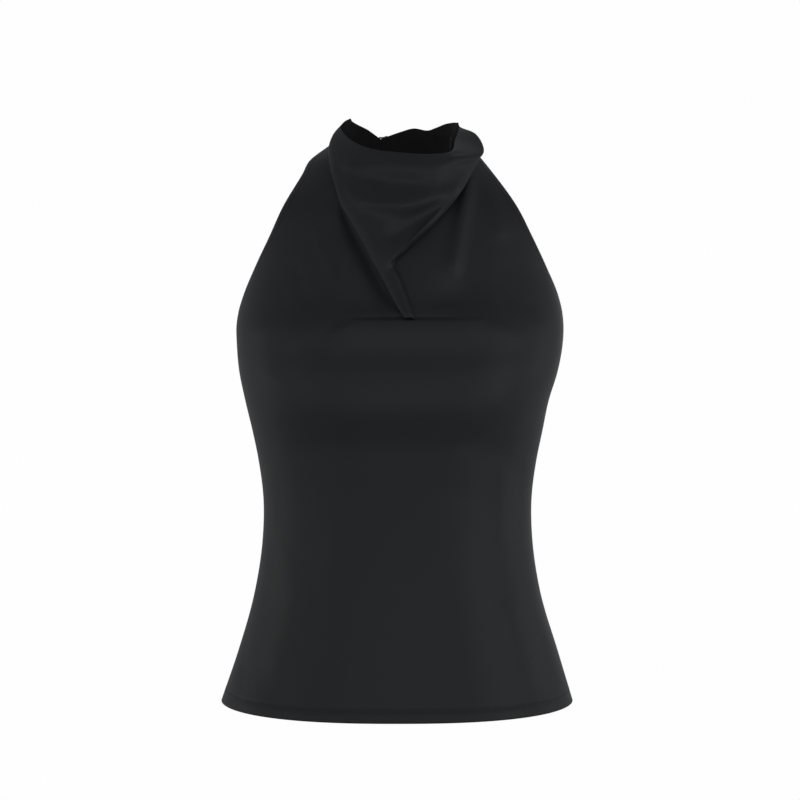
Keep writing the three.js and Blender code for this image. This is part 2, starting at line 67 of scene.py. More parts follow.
class Wire:
    """A value that runs between shader nodes."""

    def __init__(self, recipe: "Recipe", socket: bpy.types.NodeSocket) -> None:
        """Hold a node's output.

        Args:
            recipe: the material's nodes.
            socket: the output that the wire starts from.
        """
        self.recipe = recipe
        self.socket = socket

    def _math(self, operation: str, *values: Any) -> "Wire":
        """Add one Math node."""
        return self.recipe.node("ShaderNodeMath", {"operation": operation}, dict(enumerate(values)))

    def __add__(self, other: Any) -> "Wire":
        """Sum."""
        return self._math("ADD", self, other)

    __radd__ = __add__

    def __mul__(self, other: Any) -> "Wire":
        """Product."""
        return self._math("MULTIPLY", self, other)

    __rmul__ = __mul__

    def sine(self) -> "Wire":
        """Sine of the value."""
        return self._math("SINE", self)


class Recipe:
    """The nodes of one material."""

    def __init__(self, name: str) -> None:
        """Start an empty material.

        Args:
            name: the material's name.
        """
        self.material = bpy.data.materials.new(name)
        self.material.use_nodes = True
        self.tree = self.material.node_tree
        self.tree.nodes.clear()

    def node(
        self,
        kind: str,
        settings: dict[str, Any] | None = None,
        sockets: dict[Any, Any] | None = None,
        output: int | str = 0,
    ) -> Wire:
        """Add one node.

        Args:
            kind: the node's type.
            settings: its properties, or a ramp's stops, set before anything is linked.
            sockets: a number, colour or wire for each input.
            output: which output the wire starts from.

        Returns:
            The wire from that output.
        """
        made = self.tree.nodes.new(kind)
        for key, value in (settings or {}).items():
            if key == "stops":
                for k, (where, colour) in enumerate(value):
                    stops = made.color_ramp.elements
                    stop = stops[k] if k < 2 else stops.new(where)
                    stop.position = where
                    stop.color = colour
            else:
                setattr(made, key, value)
        for key, value in (sockets or {}).items():
            if isinstance(value, Wire):
                self.tree.links.new(value.socket, made.inputs[key])
            else:
                made.inputs[key].default_value = value
        return Wire(self, made.outputs[output])

    def cloth_place(self, scale: tuple[float, float, float], turn: float = 0.0) -> Wire:
        """The place on the cloth, from its UV map in metres.

        Args:
            scale: how often a pattern repeats for each metre.
            turn: how far the pattern is turned on the cloth, in degrees.

        Returns:
            The mapped place.
        """
        flat = self.node("ShaderNodeUVMap", {"uv_map": Sheet.UV})
        return self.node(
            "ShaderNodeMapping",
            {"vector_type": "POINT"},
            {"Vector": flat, "Rotation": (0.0, 0.0, math.radians(turn)), "Scale": scale},
        )

    def noise(self, place: Wire, scale: float, detail: float = 2.0) -> Wire:
        """A cloudy value about 0.5.

        Args:
            place: where the pattern is read.
            scale: its scale.
            detail: its number of finer layers.

        Returns:
            The value.
        """
        return self.node(
            "ShaderNodeTexNoise", {}, {"Vector": place, "Scale": scale, "Detail": detail}
        )

    def finish(self, shader: Wire) -> bpy.types.Material:
        """Join the shader to the material's output.

        Args:
            shader: the surface.

        Returns:
            The material.
        """
        self.node_output = self.tree.nodes.new("ShaderNodeOutputMaterial")
        self.tree.links.new(shader.socket, self.node_output.inputs["Surface"])
        return self.material


@dataclass(frozen=True)
class Satin:
    """A satin finish: long floats of thread with a soft sheen, or its matte reverse."""

    name: str
    colour: tuple[float, float, float]
    roughness: float
    specular: float
    sheen: float
    floats: tuple[float, float, float] = (2600.0, 420.0, 1.0)
    relief: float = 0.00005
    mottle: float = 0.16

    def material(self) -> bpy.types.Material:
        """Build the material.

        Returns:
            The material, with weave, slubs, faint streaks and uneven gloss.
        """
        recipe = Recipe(self.name)
        threads = recipe.noise(recipe.cloth_place(self.floats), 1.0, 1.0)
        twill = recipe.cloth_place((1.0, 1.0, 1.0), 38.0)
        streaks = recipe.noise(recipe.cloth_place((90.0, 14.0, 1.0), 12.0), 1.0, 2.0)
        clouds = recipe.noise(recipe.cloth_place((9.0, 9.0, 1.0)), 1.0, 3.0)
        split = recipe.node("ShaderNodeSeparateXYZ", {}, {"Vector": twill})
        ribs = (split * (2 * math.pi * 900.0)).sine() * 0.5 + 0.5
        shade = threads * 0.45 + streaks * 0.3 + clouds * 0.25
        low = tuple(c * (1 - self.mottle) for c in self.colour) + (1.0,)
        high = tuple(c * (1 + self.mottle) for c in self.colour) + (1.0,)
        tint = recipe.node(
            "ShaderNodeValToRGB", {"stops": [(0.3, low), (0.7, high)]}, {"Fac": shade}
        )
        gloss = clouds * 0.06 + streaks * 0.05 + threads * 0.05 + (self.roughness - 0.08)
        height = threads * 0.7 + ribs * 0.3
        bump = recipe.node(
            "ShaderNodeBump",
            {},
            {"Strength": 0.5, "Distance": self.relief, "Height": height},
        )
        surface = recipe.node(
            "ShaderNodeBsdfPrincipled",
            {},
            {
                "Base Color": tint,
                "Roughness": gloss,
                "Specular IOR Level": self.specular,
                "Sheen Weight": self.sheen,
                "Sheen Roughness": 0.45,
                "Sheen Tint": (0.75, 0.8, 0.9, 1.0),
                "Normal": bump,
            },
        )
        return recipe.finish(surface)


@dataclass(frozen=True)
class Thread:
    """Sewing thread: two plies turned round each other."""

    name: str
    colour: tuple[float, float, float]
    roughness: float = 0.6

    def material(self) -> bpy.types.Material:
        """Build the material.

        Returns:
            The material, with its twist and stray shade.
        """
        recipe = Recipe(self.name)
        place = recipe.node("ShaderNodeTexCoord", {}, {}, "Object")
        turned = recipe.node(
            "ShaderNodeMapping",
            {"vector_type": "POINT"},
            {"Vector": place, "Rotation": (0.4, 0.3, 0.6), "Scale": (1.0, 1.0, 1.0)},
        )
        split = recipe.node("ShaderNodeSeparateXYZ", {}, {"Vector": turned})
        twist = (split * (2 * math.pi * 1400.0)).sine() * 0.5 + 0.5
        low = tuple(c * 0.7 for c in self.colour) + (1.0,)
        high = tuple(c * 1.3 for c in self.colour) + (1.0,)
        tint = recipe.node(
            "ShaderNodeValToRGB", {"stops": [(0.0, low), (1.0, high)]}, {"Fac": twist}
        )
        bump = recipe.node(
            "ShaderNodeBump", {}, {"Strength": 0.4, "Distance": 0.0001, "Height": twist}
        )
        surface = recipe.node(
            "ShaderNodeBsdfPrincipled",
            {},
            {
                "Base Color": tint,
                "Roughness": self.roughness,
                "Specular IOR Level": 0.3,
                "Normal": bump,
            },
        )
        return recipe.finish(surface)


class Finish(Enum):
    """The finishes of the top."""

    FACE = Satin("satin_face", (0.0094, 0.0102, 0.0122), 0.52, 0.36, 0.06)
    REVERSE = Satin("satin_reverse", (0.0150, 0.0150, 0.0155), 0.78, 0.14, 0.0)
    BAND = Satin("band_satin_face", (0.0100, 0.0104, 0.0114), 0.52, 0.34, 0.05)
    COVER = Satin("button_satin_face", (0.0105, 0.0110, 0.0122), 0.46, 0.38, 0.06)
    THREAD = Thread("black_thread", (0.0075, 0.0075, 0.0080))

    def made(self) -> bpy.types.Material:
        """The finish's material, built once.

        Returns:
            The material.
        """
        return bpy.data.materials.get(self.value.name) or self.value.material()


# Form


@dataclass(frozen=True)
class Table:
    """Sizes by height, smooth between the rows, which run downwards."""

    columns: tuple[str, ...]
    rows: tuple[tuple[float, ...], ...]
    known: dict[tuple[str, float], float] = field(default_factory=dict, compare=False, repr=False)

    def at(self, column: str, z: float) -> float:
        """One size at a height, worked out once for each height.

        Args:
            column: the size's name.
            z: the height.

        Returns:
            The size there.
        """
        if (column, z) not in self.known:
            self.known[column, z] = self._between(column, z)
        return self.known[column, z]

    def _between(self, column: str, z: float) -> float:
        """Work out one size at a height."""
        c = self.columns.index(column)
        rows = self.rows
        last = len(rows) - 1
        if z >= rows[0][0]:
            return rows[0][c]
        if z <= rows[last][0]:
            return rows[last][c]
        i = 0
        while z < rows[i + 1][0]:
            i += 1
        step = rows[i + 1][0] - rows[i][0]
        t = (z - rows[i][0]) / step
        start = rows[i][c] * (2 * t**3 - 3 * t**2 + 1)
        end = rows[i + 1][c] * (3 * t**2 - 2 * t**3)
        leave = self._slope(i, c) * step * (t**3 - 2 * t**2 + t)
        arrive = self._slope(i + 1, c) * step * (t**3 - t**2)
        return start + end + leave + arrive

    def _slope(self, k: int, c: int) -> float:
        """Slope of a column at a row."""
        rows = self.rows
        last = len(rows) - 1

        def rise(i: int) -> float:
            """Slope between two rows."""
            return (rows[i + 1][c] - rows[i][c]) / (rows[i + 1][0] - rows[i][0])

        if k == 0:
            return rise(0)
        if k == last:
            return rise(last - 1)
        before = rows[k][0] - rows[k - 1][0]
        after = rows[k + 1][0] - rows[k][0]
        return (before * rise(k) + after * rise(k - 1)) / (before + after)


def ease(value: float) -> float:
    """Step softly from 0 to 1.

    Args:
        value: the place along the step.

    Returns:
        The eased value.
    """
    t = min(1.0, max(0.0, value))
    return t * t * (3 - 2 * t)


@dataclass(frozen=True)
class Fold:
    """A soft ridge of the cloth, or a trough where its height is below 0."""

    x: float
    z: float
    to_x: float
    to_z: float
    width: float
    height: float
    bend: float = 0.0
    fade: float = 0.25

    def at(self, x: float, z: float) -> float:
        """Height of the fold at a place.

        Args:
            x: the place across.
            z: the place up.

        Returns:
            The height, fading at both ends.
        """
        along_x = self.to_x - self.x
        along_z = self.to_z - self.z
        length = math.hypot(along_x, along_z)
        t = ((x - self.x) * along_x + (z - self.z) * along_z) / (length * length)
        off = ((x - self.x) * along_z - (z - self.z) * along_x) / length
        if self.bend:
            off -= self.bend * 4 * t * (1 - t)
        if t <= 0 or t >= 1 or abs(off) > 3 * self.width:
            return 0.0
        fade = ease(t / self.fade) * ease((1 - t) / self.fade)
        return self.height * fade * math.exp(-((off / self.width) ** 2))


def relief(folds: Iterable[Fold], x: float, z: float) -> float:
    """Height of several folds at a place.

    Args:
        folds: the folds.
        x: the place across.
        z: the place up.

    Returns:
        Their summed height.
    """
    return sum(fold.at(x, z) for fold in folds)


@dataclass(frozen=True)
class Crease:
    """The trough across the chest where the cowl's tail tucks in, and the ledge under it."""

    z: float = -161.0
    left: float = -50.0
    right: float = 60.0
    fade: float = 26.0
    depth: float = 0.5
    above: float = 5.0
    below: float = 2.2
    bend: float = 14.0
    bend_inset: float = 10.0
    ledge: float = 3.0
    step: float = 3.5
    deep: float = 36.0

    def at(self, x: float, z: float) -> float:
        """Depth of the crease at a place.

        Args:
            x: the place across.
            z: the place up.

        Returns:
            The depth, below 0 on the ledge.
        """
        past = max(0.0, self.left - x, x - self.right) / self.fade
        bent = max(0.0, self.left + self.bend_inset - x) / self.fade
        off = z - (self.z - self.bend * bent * bent)
        width = self.above if off > 0 else self.below
        ledge = self.ledge * ease(-off / self.step) * ease(1 + off / self.deep)
        return (self.depth * math.exp(-((off / width) ** 2)) - ledge) * (1 - ease(past))


@dataclass(frozen=True)
class Hollow:
    """A soft hollow of the chest above the crease."""

    x: float
    z: float
    across: float
    above: float
    below: float
    depth: float

    def at(self, x: float, z: float) -> float:
        """Depth of the hollow at a place."""
        across, off = (x - self.x) / self.across, z - self.z
        up = off / (self.above if off > 0 else self.below)
        return self.depth * math.exp(-(across**2) - up**2)


@dataclass(frozen=True)
class Form:
    """The filled-out shape that the bodice is cut to."""

    strap_top: float = 12.0
    underarm: float = -165.0
    hem: float = -553.0
    hem_depth: float = 12.0
    seam_gap: float = 0.3
    scoop: float = 40.0
    outline: Table = Table(
        ("z", "half", "mid"),
        (
            (12, 57, -1),
            (0, 74, -1),
            (-10, 84.5, -3.5),
            (-25, 94.5, -1.8),
            (-55, 114, 0),
            (-85, 128.8, 0.8),
            (-115, 143.5, 0.8),
            (-145, 156.6, 0.8),
            (-160, 161, 0.4),
            (-175, 163, 0),
            (-192, 162.6, -0.2),
            (-220, 159, -1.5),
            (-250, 151.5, -3),
            (-280, 145, -2.5),
            (-310, 139, -2.5),
            (-350, 134.3, -2.5),
            (-385, 135, -2.5),
            (-445, 144, -2.5),
            (-505, 161.5, -2),
            (-553, 177, -3),
        ),
    )
    profile: Table = Table(
        ("z", "front", "back", "full", "round"),
        (
            (12, -42, 92, 2.2, 1.25),
            (0, -48, 92, 2.2, 1.2),
            (-25, -59, 92, 2.2, 1.2),
            (-55, -70, 92, 2.2, 1.3),
            (-100, -87, 92, 2.3, 1.5),
            (-145, -102.5, 92, 2.5, 1.8),
            (-170, -113, 92, 2.6, 2),
            (-195, -117.5, 92, 2.75, 2),
            (-215, -123, 91.5, 2.8, 2),
            (-232, -125.5, 90.5, 2.75, 2),
            (-250, -125, 89, 2.65, 2),
            (-270, -120, 87, 2.5, 2),
            (-288, -114.5, 85, 2.4, 2),
            (-315, -111, 83.5, 2.35, 2),
            (-350, -109, 82, 2.3, 2),
            (-420, -109, 89, 2.3, 2),
            (-490, -115, 103, 2.3, 2),
            (-553, -125, 114, 2.45, 2),
        ),
    )
    armhole: Table = Table(
        ("z", "edge"),
        (
            (12, 8), (0, -1), (-25, -25), (-55, -42), (-100, -32.5), (-122, -19), (-140, -8.6),
            (-154, -2.3), (-165, 0),
        ),
    )
    neckline: Table = Table(
        ("z", "left", "right"),
        (
            (12, -51, 50),
            (0, -50, 49),
            (-20, -46.5, 46.5),
            (-40, -41, 41),
            (-60, -34.5, 31),
            (-80, -26.5, 15),
            (-95, -20.5, 0.5),
            (-108, -15.5, -9.5),
            (-128, -8, -3),
            (-145, 0.5, 4.5),
            (-157, 9, 9),
        ),
    )
    crease: Crease = Crease()
    hollows: tuple[Hollow, ...] = (
        Hollow(48, -145, 23, 22, 9, 5),
        Hollow(-32, -151, 22, 22, 6, 2.2),
    )
    front_folds: tuple[Fold, ...] = (
        Fold(72, -14, 46, -138, 7.5, 5.5),
        Fold(93, -40, 101, -92, 9, 1.5),
        Fold(-62, -58, -4, -166, 8.5, -4.5),
        Fold(-108, -279, 110, -274, 16, -1.5),
        Fold(-92, -405, -126, -530, 16, 3.5),
        Fold(104, -430, 132, -540, 18, 3),
    )
    back_folds: tuple[Fold, ...] = (
        Fold(-78, -332, 92, -322, 15, -2.6),
        Fold(-95, -362, 66, -350, 14, 2.4),
        Fold(78, -430, 108, -535, 18, 4),
        Fold(-66, -440, -88, -540, 17, 3.5),
    )
    fine_front: tuple[Fold, ...] = (
        Fold(-64, -44, 2.5, -163, 5.5, -3.6, 0, 0.2),
        Fold(-56, -160.4, 66, -160.4, 1.2, -0.45, 0, 0.25),
        Fold(-86, -60, -52, -140, 5, 0.9, 5),
        Fold(-104, -100, -78, -166, 6, -0.7, 4),
        Fold(-70, -150, -118, -196, 7, 0.8, -5),
        Fold(70, -150, 126, -186, 8, 0.8, 6),
        Fold(88, -120, 134, -160, 6, -0.7, 4),
        Fold(-140, -212, -90, -250, 6, 0.8, -5),
        Fold(138, -214, 84, -258, 7, 0.9, 5),
        Fold(-122, -262, -60, -292, 6, -0.8, -6),
        Fold(118, -262, 52, -296, 6, -0.7, 6),
        Fold(-126, -292, -112, -412, 7, 1.3, 6),
        Fold(96, -290, 92, -392, 7, 1.1, -4),
        Fold(116, -300, 114, -392, 7, -1.3, -3),
        Fold(-104, -344, -40, -366, 8, 0.35, 6),
        Fold(40, -332, 104, -352, 8, -0.35, -5),
        Fold(-150, -470, -156, -536, 4.5, -1.6, 2),
        Fold(-40, -420, -52, -534, 12, 0.8, 6),
        Fold(36, -430, 50, -536, 13, -0.8, -6),
        Fold(140, -470, 156, -540, 7, -1.2, 3),
    )
    fine_back: tuple[Fold, ...] = (
        Fold(-118, -214, -40, -246, 7, 1.0, -6),
        Fold(120, -208, 44, -252, 7, 1.1, 6),
        Fold(-128, -262, -52, -282, 6, -0.9, -5),
        Fold(124, -268, 40, -286, 7, -0.8, 6),
        Fold(-60, -300, 74, -304, 8, 1.0, 6),
        Fold(-112, -322, -40, -342, 6, -0.9, 5),
        Fold(108, -318, 60, -346, 6, 0.9, -5),
        Fold(-18, -372, 96, -362, 8, -0.9, -6),
        Fold(22, -410, 30, -536, 14, -1.1, 7),
        Fold(-120, -430, -138, -540, 10, 1.2, 5),
        Fold(136, -440, 150, -540, 8, -1.1, -4),
        Fold(-24, -208, 30, -214, 6, 0.8, 3),
    )

    def front_x(self, share: float, z: float) -> float:
        """Place across at a share of the width."""
        return self.outline.at("mid", z) + self.outline.at("half", z) * share

    def front_share(self, x: float, z: float) -> float:
        """Share of the width at a place across."""
        share = (x - self.outline.at("mid", z)) / self.outline.at("half", z)
        return min(1.0, max(-1.0, share))

    def edge_depth(self, z: float) -> float:
        """Depth of the front's side edge at a height."""
        if z <= self.underarm:
            return -self.seam_gap / 2
        return self.armhole.at("edge", z) - self.seam_gap / 2

    def front(self, share: float, z: float, fine: bool = True) -> Vector:
        """A place on the front.

        Args:
            share: from -1 at the left edge to 1 at the right edge.
            z: the height.
            fine: whether the small creases count.

        Returns:
            The place in millimetres.
        """
        full = self.profile.at("full", z)
        bow = (1 - abs(share) ** full) ** (1 / self.profile.at("round", z))
        edge = self.edge_depth(z)
        x = self.front_x(share, z)
        lift = relief(self.front_folds, x, z) - self.crease.at(x, z)
        lift -= sum(hollow.at(x, z) for hollow in self.hollows)
        if fine:
            lift += relief(self.fine_front, x, z) + self.hem_roll(x, z, 0.0)
        depth = edge + (self.profile.at("front", z) - edge) * bow
        return Vector((x, depth - lift * min(1.0, bow * 2), z))

    def front_depth(self, x: float, z: float, fine: bool = True) -> float:
        """Depth of the front at a place across and a height."""
        return self.front(self.front_share(x, z), z, fine).y

    def back(self, share: float, z: float) -> Vector:
        """A place on the back.

        Args:
            share: from -1 to 1 along +X.
            z: the height.

        Returns:
            The place in millimetres.
        """
        x = self.front_x(share, z)
        bow = (1 - abs(share) ** 2.3) ** 0.5
        lift = relief(self.back_folds, x, z) + relief(self.fine_back, x, z)
        lift += self.hem_roll(x, z, 40.0)
        depth = self.seam_gap / 2 + self.profile.at("back", z) * bow
        return Vector((x, depth + lift * min(1.0, bow * 2), z))

    def hem_roll(self, x: float, z: float, shift: float) -> float:
        """Relief of the turned hem: a rounded strip under a pulled stitch line, with puckers.

        Args:
            x: the place across.
            z: the height.
            shift: moves the puckers along.

        Returns:
            The height.
        """
        line = self.hem + self.hem_depth
        if z > line + 24:
            return 0.0
        pull = math.exp(-(((z - line) / 1.7) ** 2))
        puff = math.exp(-(((z - line + 6.5) / 4.5) ** 2))
        near = math.exp(-(((z - line) / 8.0) ** 2))
        wave = math.sin((x + shift) / 1.9) + 0.6 * math.sin((x + shift) / 3.1 + 1.0)
        return 0.6 * puff - 0.75 * pull + 0.10 * near * wave

    def scoop_top(self, share: float) -> float:
        """Height of the back's top edge at a share of its width."""
        return self.underarm - self.scoop * (1 - share * share)


class Spacing(Enum):
    """How a curve spaces its pull between its points."""

    EVEN = "even"
    CENTRIPETAL = "centripetal"


@dataclass(frozen=True)
class Spline:
    """A smooth open curve through points."""

    points: tuple[Vector, ...]
    spacing: Spacing = Spacing.CENTRIPETAL

    def at(self, t: float) -> Vector:
        """A place on the curve.

        Args:
            t: from 0 at the first point to 1 at the last.

        Returns:
            The place.
        """
        pts = self.points
        last = len(pts) - 1
        i = min(int(t * last), last - 1)
        w = t * last - i
        p1, p2 = pts[i], pts[i + 1]
        p0 = pts[i - 1] if i > 0 else pts[0] * 2 - pts[1]
        p3 = pts[i + 2] if i + 2 <= last else pts[last] * 2 - pts[last - 1]
        if self.spacing is Spacing.EVEN:
            leave, arrive = (p2 - p0) * 0.5, (p3 - p1) * 0.5
        else:
            b = math.sqrt((p2 - p1).length)
            b = 1.0 if b < 1e-4 else b
            a = math.sqrt((p1 - p0).length)
            a = b if a < 1e-4 else a
            c = math.sqrt((p3 - p2).length)
            c = b if c < 1e-4 else c
            leave = ((p1 - p0) / a - (p2 - p0) / (a + b) + (p2 - p1) / b) * b
            arrive = ((p2 - p1) / b - (p3 - p1) / (b + c) + (p3 - p2) / c) * b
        third = leave + arrive + (p1 - p2) * 2
        second = (p2 - p1) * 3 - leave * 2 - arrive
        return p1 + leave * w + second * (w * w) + third * (w * w * w)


# Cloth


class Sheet:
    """A piece of cloth, laid as grids over its form and given a wall."""

    UV = "cloth"
    WALL = "wall"

    def __init__(self, name: str) -> None:
        """Start an empty piece.

        Args:
            name: the piece's name.
        """
        self.name = name
        self.mesh = bmesh.new()
        self.uv = self.mesh.loops.layers.uv.new(self.UV)
        self.weights = self.mesh.verts.layers.deform.verify()

    def lay(
        self,
        columns: int,
        rows: int,
        place: Callable[[int, int], Vector],
        start: Callable[[int], float] = lambda row: 0.0,
        thick: Callable[[Vector], float] = lambda spot: 1.0,
        backwards: bool = False,
    ) -> None:
        """Lay one grid, whose columns run right and rows run down as seen from outside.

        Args:
            columns: how many squares across.
            rows: how many squares down.
            place: the place in millimetres of a column and row.
            start: where on the flat cloth a row starts, in millimetres.
            thick: the share of the full wall at a place.
            backwards: whether a row starts at its last column.
        """
        spots = [[place(i, j) for j in range(rows + 1)] for i in range(columns + 1)]
        across = [[0.0] * (rows + 1) for _ in range(columns + 1)]
        for j in range(rows + 1):
            order = range(columns, -1, -1) if backwards else range(columns + 1)
            run, before = start(j), None
            for i in order:
                if before is not None:
                    step = (spots[i][j] - spots[before][j]).length
                    run += -step if backwards else step
                across[i][j] = run
                before = i
        middle = columns // 2
        down = [0.0]
        for j in range(rows):
            down.append(down[-1] + (spots[middle][j + 1] - spots[middle][j]).length)
        made = bmesh.ops.create_grid(
            self.mesh, x_segments=columns, y_segments=rows, size=0.5
        )["verts"]
        where = {}
        for vert in made:
            i = round((vert.co.x + 0.5) * columns)
            j = round((0.5 - vert.co.y) * rows)
            where[vert] = (i, j)
            vert.co = spots[i][j] * MM
            vert[self.weights][0] = thick(spots[i][j])
        for face in {face for vert in made for face in vert.link_faces}:
            for loop in face.loops:
                i, j = where[loop.vert]
                loop[self.uv].uv = (across[i][j] * MM, -down[j] * MM)

    def sew(self) -> None:
        """Merge the edges of grids that meet."""
        bmesh.ops.remove_doubles(self.mesh, verts=self.mesh.verts[:], dist=0.00002)

    def piece(
        self,
        finishes: Sequence[Finish],
        wall: float,
        slot: str,
    ) -> bpy.types.Object:
        """Make the object, with its wall inside the laid face.

        Args:
            finishes: the finish of the face, then of the reverse.
            wall: the full thickness in millimetres, or 0 for a closed form.
            slot: not used.

        Returns:
            The object.
        """
        data = bpy.data.meshes.new(self.name)
        self.mesh.to_mesh(data)
        self.mesh.free()
        made = bpy.data.objects.new(self.name, data)
        bpy.context.scene.collection.objects.link(made)
        made.vertex_groups.new(name=self.WALL)
        for finish in finishes:
            data.materials.append(finish.made())
        for polygon in data.polygons:
            polygon.use_smooth = True
        if wall:
            solid = made.modifiers.new("wall", "SOLIDIFY")
            solid.thickness = wall * MM
            solid.offset = -1.0
            solid.vertex_group = self.WALL
            solid.thickness_vertex_group = 0.0
            solid.use_quality_normals = True
            solid.material_offset = len(finishes) - 1
            solid.material_offset_rim = len(finishes) - 1
        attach(made, BODY)
        LOG.info("%s: %d faces laid", self.name, len(data.polygons))
        return made


def spread(start: float, zones: Sequence[tuple[float, int]]) -> list[float]:
    """Heights of rows, zone after zone.

    Args:
        start: the first height.
        zones: where each zone ends, and its number of rows.

    Returns:
        The heights.
    """
    heights = [start]
    for end, rows in zones:
        first = heights[-1]
        heights += [first + (end - first) * k / rows for k in range(1, rows + 1)]
    return heights


@dataclass
class Stitches:
    """A line of lockstitch along a path."""

    name: str
    length: float = 2.3
    gap: float = 0.8
    width: float = 0.42
    proud: float = 0.1

    def sew(self, paths: Sequence[tuple[Place, Place]], steps: int = 400) -> bpy.types.Object:
        """Sew the lines as one piece.

        Args:
            paths: for each line its place and its way out at a share from 0 to 1.
            steps: how finely a path is measured.

        Returns:
            The object.
        """
        sheet = Sheet(self.name)
        for place, outward in paths:
            spots = [place(k / steps, 0.0) for k in range(steps + 1)]
            run, due = 0.0, self.gap
            for k in range(steps):
                step = spots[k + 1] - spots[k]
                run += step.length
                if run < due + self.length / 2:
                    continue
                due += self.length + self.gap
                self._stitch(sheet, spots[k + 1], step.normalized(), outward(k / steps, 0.0))
        return sheet.piece([Finish.THREAD], 0.0, "satin")

    def _stitch(self, sheet: Sheet, spot: Vector, along: Vector, out: Vector) -> None:
        """Add one stitch.

        Args:
            sheet: the piece.
            spot: its middle on the cloth, in millimetres.
            along: the way that it runs.
            out: the way out of the cloth.
        """
        side = along.cross(out).normalized()
        top = side.cross(along).normalized()
        turn = Matrix((along, side, top)).transposed().to_4x4()
        size = Matrix.Diagonal((self.length / 2, self.width / 2, self.width / 2, 1.0))
        place = Matrix.Translation((spot + top * self.proud) * MM)
        scale = Matrix.Diagonal((MM, MM, MM, 1.0))
        bmesh.ops.create_icosphere(
            sheet.mesh, subdivisions=1, radius=1.0, matrix=place @ turn @ scale @ size
        )


